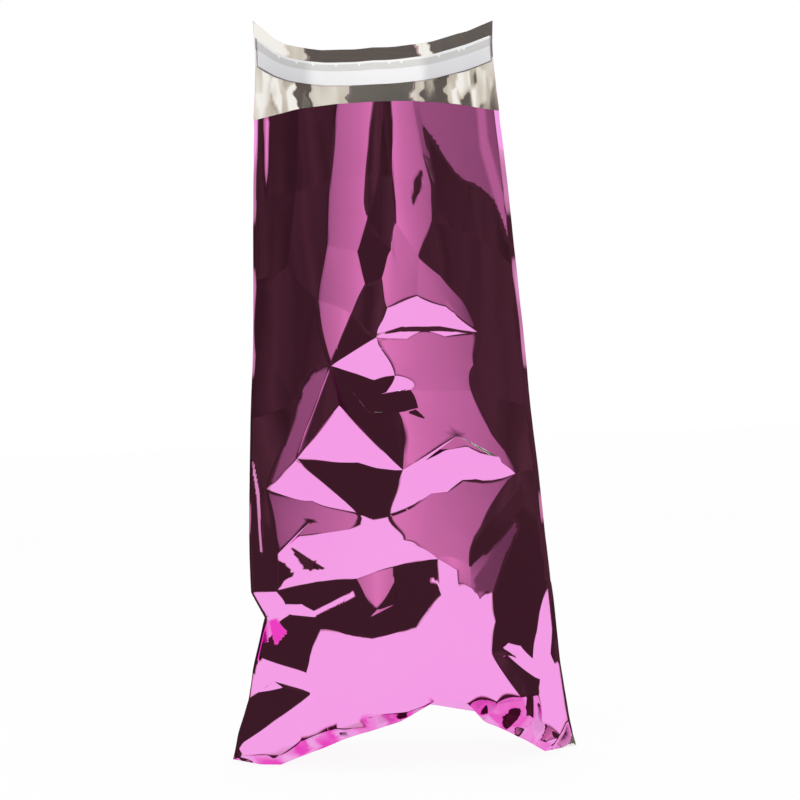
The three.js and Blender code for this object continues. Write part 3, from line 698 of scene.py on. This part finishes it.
def film_material(name, colour, deeper, roughness, wear, bump, metal):
    """Mirror film: a colour that varies a little between two tones, with wear and shallow dents, and painted shade:
    a deeper colour where the points carry it.
    """
    material, tree, shader = new_material(name)
    marks = tree.nodes.new("ShaderNodeGroup")
    marks.node_tree = wear
    marks.inputs["Base Roughness"].default_value = roughness
    marks.inputs["Haze"].default_value = 0.03
    marks.inputs["Scratches"].default_value = 0.15
    marks.inputs["Dent Scale"].default_value = 60.0
    tone = tree.nodes.new("ShaderNodeMix")
    tone.data_type = "RGBA"
    tone.inputs["A"].default_value = (*colour, 1)
    tone.inputs["B"].default_value = (*deeper, 1)
    tree.links.new(marks.outputs["Mask"], tone.inputs["Factor"])
    # Painted shade and reflection: where the points' painted shade attribute says, the colour deepens to the film
    # colour squared and cubed, as if the metal mirrored its own folds in shade.
    fold_shade_node = tree.nodes.new("ShaderNodeAttribute")
    fold_shade_node.attribute_name = "painted_fold_shade"
    depth = tree.nodes.new("ShaderNodeMix")
    depth.data_type = "RGBA"
    depth.inputs["B"].default_value = (colour[0] ** 2, colour[1] ** 3, colour[2] ** 3, 1)
    tree.links.new(fold_shade_node.outputs["Fac"], depth.inputs["Factor"])
    tree.links.new(tone.outputs["Result"], depth.inputs["A"])
    tree.links.new(depth.outputs["Result"], shader.inputs["Base Color"])
    tree.links.new(marks.outputs["Roughness"], shader.inputs["Roughness"])
    shader.inputs["Metallic"].default_value = metal
    relief = tree.nodes.new("ShaderNodeBump")
    relief.inputs["Strength"].default_value = bump
    relief.inputs["Distance"].default_value = 0.0006
    tree.links.new(marks.outputs["Height"], relief.inputs["Height"])
    tree.links.new(relief.outputs["Normal"], shader.inputs["Normal"])
    return material


def step_node(tree, value, low, high):
    """0 below low, 1 above high, smooth between."""
    node = tree.nodes.new("ShaderNodeMapRange")
    node.interpolation_type = "SMOOTHSTEP"
    node.inputs["From Min"].default_value = low
    node.inputs["From Max"].default_value = high
    tree.links.new(value, node.inputs["Value"])
    return node.outputs["Result"]


def blend_node(tree, share, first, second):
    node = tree.nodes.new("ShaderNodeMix")
    node.data_type = "RGBA"
    tree.links.new(share, node.inputs["Factor"])
    for socket, value in ((node.inputs["A"], first), (node.inputs["B"], second)):
        if isinstance(value, (tuple, list)):
            socket.default_value = (*value[:3], 1)
        else:
            tree.links.new(value, socket)
    return node.outputs["Result"]


def tape_material(name, colour, roughness, opacity, wear, dent_scale, stripe=None):
    """Milky or tacky plastic: soft colour and slight unevenness. With a stripe colour it clears where
    it wets the adhesive, down from a bright rim with small white nicks, and carries painted light: its
    colour is lighter across the middle than at the ends, and a painted glow, brightest in the middle,
    stands in for the light that the silver film behind it returns."""
    material, tree, shader = new_material(name)
    marks = tree.nodes.new("ShaderNodeGroup")
    marks.node_tree = wear
    marks.inputs["Base Roughness"].default_value = roughness
    marks.inputs["Haze"].default_value = 0.1
    marks.inputs["Scratches"].default_value = 0.5
    marks.inputs["Dent Scale"].default_value = dent_scale
    tone = blend_node(tree, marks.outputs["Mask"], colour, [c * 0.88 for c in colour])
    if stripe:
        row = tree.nodes.new("ShaderNodeAttribute")
        row.attribute_name = "tape_row"
        place = tree.nodes.new("ShaderNodeTexCoord")
        split = tree.nodes.new("ShaderNodeSeparateXYZ")
        tree.links.new(place.outputs["Object"], split.inputs["Vector"])
        # Painted light: the liner's colour is lighter across its middle than towards its ends.
        middle = math_node(
            tree, "MULTIPLY", step_node(tree, split.outputs["X"], -0.037, -0.03),
            step_node(tree, math_node(tree, "MULTIPLY", split.outputs["X"], -1.0), -0.026, -0.02))
        tone = blend_node(tree, middle, [c * 0.86 for c in colour], tone)
        # Painted glow: an emission, brightest in the middle, standing in for light that the silver film behind the
        # liner returns.
        painted_glow = blend_node(tree, middle, (0.3, 0.3, 0.36), (1.0, 1.0, 1.0))
        tree.links.new(painted_glow, shader.inputs["Emission Color"])
        shader.inputs["Emission Strength"].default_value = 0.2
        spread = math_node(tree, "MULTIPLY", split.outputs["X"], 95.0)
        spots = tree.nodes.new("ShaderNodeTexVoronoi")
        spots.voronoi_dimensions = "1D"
        spots.inputs["Scale"].default_value = 1.0
        tree.links.new(spread, spots.inputs["W"])
        peak = math_node(tree, "MULTIPLY", spots.outputs["Distance"], -9.0)
        peak = math_node(tree, "ADD", peak, 1.0)
        peak = math_node(tree, "MULTIPLY", peak, 2.0)
        below_rim = math_node(tree, "SUBTRACT", 37.2, row.outputs["Fac"])
        nick = math_node(tree, "GREATER_THAN", peak, below_rim)
        band = step_node(tree, row.outputs["Fac"], 32.6, 33.1)
        rim = step_node(tree, row.outputs["Fac"], 36.5, 36.9)
        white = math_node(tree, "MAXIMUM", math_node(tree, "MULTIPLY", nick, band), rim)
        tone = blend_node(tree, band, tone, stripe)
        tone = blend_node(tree, math_node(tree, "MULTIPLY", white, 0.85), tone, (1.0, 1.0, 1.0))
    tree.links.new(tone, shader.inputs["Base Color"])
    tree.links.new(marks.outputs["Roughness"], shader.inputs["Roughness"])
    shader.inputs["Alpha"].default_value = opacity
    relief = tree.nodes.new("ShaderNodeBump")
    relief.inputs["Strength"].default_value = 0.4
    relief.inputs["Distance"].default_value = 0.0004
    tree.links.new(marks.outputs["Height"], relief.inputs["Height"])
    tree.links.new(relief.outputs["Normal"], shader.inputs["Normal"])
    return material


def faded_card_material(name, colour, edge_colour, middle, full, gone):
    """A card whose colour fades to the edge colour between two angles from its middle."""
    material = card_material(name, colour)
    tree = material.node_tree
    glow = tree.nodes["Emission"]
    place = tree.nodes.new("ShaderNodeTexCoord")
    split = tree.nodes.new("ShaderNodeSeparateXYZ")
    tree.links.new(place.outputs["Object"], split.inputs["Vector"])
    sign = 1.0 if middle == 0 else -1.0
    depth = math_node(tree, "MULTIPLY", split.outputs["Y"], -sign)
    angle = math_node(tree, "ARCTAN2", split.outputs["X"], depth)
    angle = math_node(tree, "ABSOLUTE", angle, 0.0)
    share = math_node(tree, "DIVIDE", angle, math.radians(gone))
    tones = tree.nodes.new("ShaderNodeValToRGB")
    steps = (
        (0.0, [c * 1.55 for c in colour]), (0.16, [c * 1.25 for c in colour]), (0.4, colour),
        (full / gone, [c * 0.75 for c in colour]), (1.0, edge_colour),
    )
    ramp = tones.color_ramp
    for element, (at, tone) in zip(
            [ramp.elements[0]] + [ramp.elements.new(0.5) for step in steps[1:-1]] + [ramp.elements[-1]],
            steps):
        element.position = at
        element.color = (*tone, 1)
    tree.links.new(share, tones.inputs["Fac"])
    tree.links.new(tones.outputs["Color"], glow.inputs["Color"])
    return material


def floor_card_material(name, colour):
    """What the film mirrors of the floor: pale close to the bag, dark further out."""
    material = card_material(name, colour)
    tree = material.node_tree
    glow = tree.nodes["Emission"]
    place = tree.nodes.new("ShaderNodeTexCoord")
    oval = tree.nodes.new("ShaderNodeMapping")
    oval.inputs["Scale"].default_value = (1 / 0.13, 1 / 0.075, 0)
    tree.links.new(place.outputs["Object"], oval.inputs["Vector"])
    length = tree.nodes.new("ShaderNodeVectorMath")
    length.operation = "LENGTH"
    tree.links.new(oval.outputs["Vector"], length.inputs[0])
    fade = tree.nodes.new("ShaderNodeMapRange")
    fade.inputs["From Min"].default_value = 0.95
    fade.inputs["From Max"].default_value = 1.1
    tree.links.new(length.outputs["Value"], fade.inputs["Value"])
    blend = tree.nodes.new("ShaderNodeMix")
    blend.data_type = "RGBA"
    blend.inputs["A"].default_value = (0.95, 0.95, 0.95, 1)
    blend.inputs["B"].default_value = (*colour, 1)
    tree.links.new(fade.outputs["Result"], blend.inputs["Factor"])
    tree.links.new(blend.outputs["Result"], glow.inputs["Color"])
    return material


def ring_material(name, colour, radius):
    """The dark ring: faint upright unevenness, and a warm pale fade at its top edge."""
    material = card_material(name, colour)
    tree = material.node_tree
    glow = tree.nodes["Emission"]
    place = tree.nodes.new("ShaderNodeTexCoord")
    uneven = tree.nodes.new("ShaderNodeTexNoise")
    stretch = tree.nodes.new("ShaderNodeMapping")
    stretch.inputs["Scale"].default_value = (2.2, 2.2, 0.5)
    tree.links.new(place.outputs["Object"], stretch.inputs["Vector"])
    tree.links.new(stretch.outputs["Vector"], uneven.inputs["Vector"])
    uneven.inputs["Scale"].default_value = 1.6
    uneven.inputs["Detail"].default_value = 3.0
    tones = tree.nodes.new("ShaderNodeValToRGB")
    tones.color_ramp.elements[0].position = 0.35
    tones.color_ramp.elements[0].color = (*[c * 0.75 for c in colour], 1)
    tones.color_ramp.elements[1].position = 0.75
    tones.color_ramp.elements[1].color = (*[c * 2.2 for c in colour], 1)
    tree.links.new(uneven.outputs["Fac"], tones.inputs["Fac"])
    split = tree.nodes.new("ShaderNodeSeparateXYZ")
    tree.links.new(place.outputs["Object"], split.inputs["Vector"])
    rise = tree.nodes.new("ShaderNodeMapRange")
    rise.inputs["From Min"].default_value = 0.17 + radius * math.tan(math.radians(12.5))
    rise.inputs["From Max"].default_value = 0.17 + radius * math.tan(math.radians(15.5))
    tree.links.new(split.outputs["Z"], rise.inputs["Value"])
    top = tree.nodes.new("ShaderNodeMapRange")
    top.inputs["From Min"].default_value = 0.17 + radius * math.tan(math.radians(17))
    top.inputs["From Max"].default_value = 0.17 + radius * math.tan(math.radians(25))
    tree.links.new(split.outputs["Z"], top.inputs["Value"])
    warm = blend_node(tree, top.outputs["Result"], (0.56, 0.5, 0.43), (0.9, 0.88, 0.84))
    faded = blend_node(tree, rise.outputs["Result"], tones.outputs["Color"], warm)
    tree.links.new(faded, glow.inputs["Color"])
    return material


def card_material(name, colour):
    """A card that only glossy reflections see: it shines with its own flat colour."""
    material = bpy.data.materials.new(name)
    material.use_nodes = True
    tree = material.node_tree
    tree.nodes.clear()
    glow = tree.nodes.new("ShaderNodeEmission")
    glow.inputs["Color"].default_value = (*colour, 1)
    output = tree.nodes.new("ShaderNodeOutputMaterial")
    tree.links.new(glow.outputs["Emission"], output.inputs["Surface"])
    return material


# Operators

def is_film_rim(mesh, polygon):
    """True for the narrow faces along the film's cut edge, at the mouth and round the lip."""
    if polygon.center.z < 0.294:
        return False
    corners = [mesh.vertices[i].co for i in polygon.vertices]
    shortest = min((a - b).length for a, b in zip(corners, corners[1:] + corners[:1]))
    return shortest < 0.0011


def crinkle_height(place, height):
    """Small sharp dents, stronger along the mouth, the lip and the bottom folds."""
    near_mouth = max(0.0, 1.0 - abs(place.z - 0.305) / 0.03)
    near_foot = max(0.0, 1.0 - place.z / 0.03)
    amount = 0.25 + 0.75 * max(near_mouth, near_foot)
    ridges = noise.ridged_multi_fractal(place * 45, 1.0, 2.1, 3, 1.0, 2.0) - 1.2
    return height * amount * ridges


class GIFTBAG_OT_film(bpy.types.Operator):
    """Makes the crumpled film of the bag, coloured outside and silver inside"""
    bl_idname = "giftbag.film"
    bl_label = "Bag film"

    def execute(self, context):
        settings = context.scene.giftbag_film
        film = copy_node("bag_film", "crumpled_film")
        keep_one_skin(film, is_film_rim, skin_reach)
        mark_facets(film)
        make_quads(film)
        crease_edges(film, 8.0, 22.0, settings.crease)
        apply_modifier(film, "SUBSURF", levels=2, render_levels=2)
        split_front(film)
        outward = [vertex.normal.copy() for vertex in film.data.vertices]
        for vertex, direction in zip(film.data.vertices, outward):
            vertex.co += direction * crinkle_height(vertex.co, settings.crinkle)
        shape_lip(film)
        wear = bpy.data.node_groups.get("Film wear") or film_wear_group()
        pink = tuple(settings.colour)
        deeper = (pink[0] * 0.97, pink[1] * 0.85, pink[2] * 0.95)
        silver = tuple(settings.inner_colour)
        film.data.materials.append(film_material(
            "Pink metallised film", pink, deeper, settings.roughness, wear, 0.08, 1.0))
        film.data.materials.append(film_material(
            "Silver film side", silver, tuple(c * 0.95 for c in silver), settings.roughness + 0.02, wear,
            0.1, 0.88))
        apply_modifier(
            film, "SOLIDIFY", thickness=settings.thickness, offset=-1,
            material_offset=1, material_offset_rim=0)
        settle_facets(film, settings.flatness, settings.sharpness)
        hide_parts("bag_film")
        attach(film, "root")
        return {"FINISHED"}


def mark_tape_rows(strip):
    """Keeps each point's height above the mouth, so the liner's finish can follow the tape."""
    rows = strip.data.attributes.new("tape_row", "FLOAT", "POINT")
    for vertex, row in zip(strip.data.vertices, rows.data):
        row.value = lip_row(vertex.co.x / MILLIMETRE, vertex.co.z / MILLIMETRE)


def strip_side(piece, toward):
    """Keeps the skin of a thin strip that faces the given way."""
    def thin(mesh, polygon):
        corners = [mesh.vertices[i].co for i in polygon.vertices]
        shortest = min((a - b).length for a, b in zip(corners, corners[1:] + corners[:1]))
        return shortest < 0.0008

    def facing(skin):
        return sum(face.normal.dot(toward) * face.calc_area() for face in skin)
    keep_one_skin(piece, thin, facing)


class GIFTBAG_OT_tape(bpy.types.Operator):
    """Makes the tacky stripe and the milky peel-off liner on the lip's inner face"""
    bl_idname = "giftbag.tape"
    bl_label = "Peel-and-seal tape"

    def execute(self, context):
        settings = context.scene.giftbag_tape
        wear = bpy.data.node_groups.get("Film wear") or film_wear_group()
        front = Vector((0, -1, 0))
        for node, name, slot, thickness, seat, material in (
            ("adhesive_strip", "tacky_stripe", "adhesive", 0.00025, 0.00055, tape_material(
                "Tacky adhesive", tuple(settings.adhesive_colour), 0.45, 1.0, wear, 260.0)),
            ("release_liner", "milky_liner", "liner_film", 0.0001, 0.001, tape_material(
                "Milky liner film", tuple(settings.liner_colour), 0.28, settings.liner_opacity, wear, 90.0,
                (0.66, 0.66, 0.64))),
        ):
            strip = copy_node(node, name)
            strip_side(strip, front)
            make_quads(strip)
            crease_edges(strip, 10.0, 30.0, 0.6)
            apply_modifier(strip, "SUBSURF", levels=2, render_levels=2)
            mark_tape_rows(strip)
            shape_lip(strip)
            for vertex in strip.data.vertices:
                vertex.co.y += seat
                vertex.co.x = (vertex.co.x + 0.00075) * 1.006 - 0.00075
            strip.data.materials.append(material)
            apply_modifier(strip, "SOLIDIFY", thickness=thickness, offset=-1)
            smooth_shading(strip, 35)
            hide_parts(node)
            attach(strip, "root")
        return {"FINISHED"}


def curved_card(name, radius, low, high, first, last, material):
    """A cylinder cut down to the part between two compass angles, given from the front."""
    deselect_all()
    bpy.ops.mesh.primitive_cylinder_add(
        vertices=144, radius=radius, depth=high - low, end_fill_type="NOTHING",
        location=(0, 0, (low + high) / 2))
    card = bpy.context.object
    card.name = name
    bpy.ops.object.transform_apply(location=True, rotation=True, scale=True)
    for polygon in card.data.polygons:
        angle = math.degrees(math.atan2(polygon.center.x, -polygon.center.y))
        turned = (angle - first) % 360.0
        polygon.select = turned > (last - first)
    bpy.ops.object.mode_set(mode="EDIT")
    bpy.ops.mesh.select_mode(type="FACE")
    if last - first < 360.0:
        bpy.ops.mesh.delete(type="FACE")
    bpy.ops.object.mode_set(mode="OBJECT")
    card.data.materials.append(material)
    card.visible_camera = False
    card.visible_diffuse = False
    card.visible_shadow = False
    return card


class GIFTBAG_OT_stage(bpy.types.Operator):
    """Lays the pale floor and puts up the light, the reflected cards and the camera"""
    bl_idname = "giftbag.stage"
    bl_label = "Studio and camera"

    def execute(self, context):
        settings = context.scene.giftbag_stage
        scene = context.scene
        self.floor(settings)
        self.surround(settings)
        self.world(scene)
        self.lamp()
        self.camera(scene, settings)
        scene.view_settings.view_transform = "Standard"
        return {"FINISHED"}

    def floor(self, settings):
        deselect_all()
        bpy.ops.mesh.primitive_plane_add(size=12, location=(0, 0, 0))
        floor = bpy.context.object
        floor.name = "pale_floor"
        material, tree, shader = new_material("Pale floor")
        shader.inputs["Base Color"].default_value = (0.86, 0.86, 0.86, 1)
        shader.inputs["Roughness"].default_value = 0.6
        shader.inputs["Specular IOR Level"].default_value = 0.2
        seen = tree.nodes.new("ShaderNodeLightPath")
        white = tree.nodes.new("ShaderNodeEmission")
        white.inputs["Color"].default_value = (1, 1, 1, 1)
        lift = tree.nodes.new("ShaderNodeMixShader")
        share = math_node(tree, "MULTIPLY", seen.outputs["Is Camera Ray"], 0.93)
        tree.links.new(share, lift.inputs["Fac"])
        tree.links.new(shader.outputs["BSDF"], lift.inputs[1])
        tree.links.new(white.outputs["Emission"], lift.inputs[2])
        tree.links.new(lift.outputs["Shader"], tree.nodes["Material Output"].inputs["Surface"])
        floor.data.materials.append(material)
        floor.visible_glossy = False
        deselect_all()
        bpy.ops.mesh.primitive_circle_add(
            vertices=96, radius=settings.surround_radius, fill_type="NGON", location=(0, 0, -0.01))
        dark_floor = bpy.context.object
        dark_floor.name = "reflected_floor"
        dark_floor.data.materials.append(floor_card_material("Dark floor card", settings.dark))
        dark_floor.visible_camera = False
        dark_floor.visible_diffuse = False
        dark_floor.visible_shadow = False

    def surround(self, settings):
        radius = settings.surround_radius
        rise = math.tan(math.radians(18))
        dark = ring_material("Dark card", settings.dark, radius)
        curved_card("dark_ring", radius, -1.2, 0.17 + radius * math.tan(math.radians(25)), 0, 360, dark)
        near = radius * 0.98
        for name, middle in (("front_card", 0), ("back_card", 180)):
            mid = faded_card_material(name, settings.mid, settings.dark, middle, 24, 40)
            curved_card(name, near, -0.6, 0.17 + near * rise, middle - 41, middle + 41, mid)

    def world(self, scene):
        world = bpy.data.worlds.new("Studio white")
        world.use_nodes = True
        world.node_tree.nodes["Background"].inputs["Color"].default_value = (1, 1, 1, 1)
        world.node_tree.nodes["Background"].inputs["Strength"].default_value = 1.0
        scene.world = world

    def lamp(self):
        light = bpy.data.lights.new("soft_overhead", "AREA")
        light.energy = 3.8
        light.size = 1.2
        lamp = bpy.data.objects.new("soft_overhead", light)
        lamp.location = (-0.4, -0.5, 1.4)
        lamp.rotation_euler = (Vector((0, 0, 0.15)) - lamp.location).to_track_quat("-Z", "Y").to_euler()
        lamp.visible_glossy = False
        bpy.context.scene.collection.objects.link(lamp)

    def camera(self, scene, settings):
        data = bpy.data.cameras.new("photo_camera")
        data.lens = settings.lens
        data.sensor_width = 36
        data.shift_x = 0.0120
        camera = bpy.data.objects.new("photo_camera", data)
        camera.location = (0, -settings.distance, settings.height)
        level = (Vector((0, 0, settings.height)) - camera.location).to_track_quat("-Z", "Y")
        roll = Matrix.Rotation(-math.atan(0.040), 4, "Z")
        camera.rotation_euler = (level.to_matrix().to_4x4() @ roll).to_euler()
        scene.collection.objects.link(camera)
        scene.camera = camera


class GIFTBAG_PT_panel(bpy.types.Panel):
    """Lists the bag's pieces and their settings"""
    bl_label = "Gift bag"
    bl_idname = "GIFTBAG_PT_panel"
    bl_space_type = "VIEW_3D"
    bl_region_type = "UI"
    bl_category = "Gift bag"

    def draw(self, context):
        layout = self.layout
        for operator, settings in (
            ("giftbag.film", context.scene.giftbag_film),
            ("giftbag.tape", context.scene.giftbag_tape),
            ("giftbag.stage", context.scene.giftbag_stage),
        ):
            box = layout.box()
            box.operator(operator)
            for name in settings.__annotations__:
                box.prop(settings, name)


CLASSES = (
    FilmSettings, TapeSettings, StageSettings,
    GIFTBAG_OT_film, GIFTBAG_OT_tape, GIFTBAG_OT_stage, GIFTBAG_PT_panel,
)


def register():
    for cls in CLASSES:
        bpy.utils.register_class(cls)
    bpy.types.Scene.giftbag_film = bpy.props.PointerProperty(type=FilmSettings)
    bpy.types.Scene.giftbag_tape = bpy.props.PointerProperty(type=TapeSettings)
    bpy.types.Scene.giftbag_stage = bpy.props.PointerProperty(type=StageSettings)


def unregister():
    del bpy.types.Scene.giftbag_stage
    del bpy.types.Scene.giftbag_tape
    del bpy.types.Scene.giftbag_film
    for cls in reversed(CLASSES):
        bpy.utils.unregister_class(cls)


def main():
    register()
    bpy.ops.giftbag.film()
    bpy.ops.giftbag.tape()
    bpy.ops.giftbag.stage()


if __name__ == "__main__":
    main()
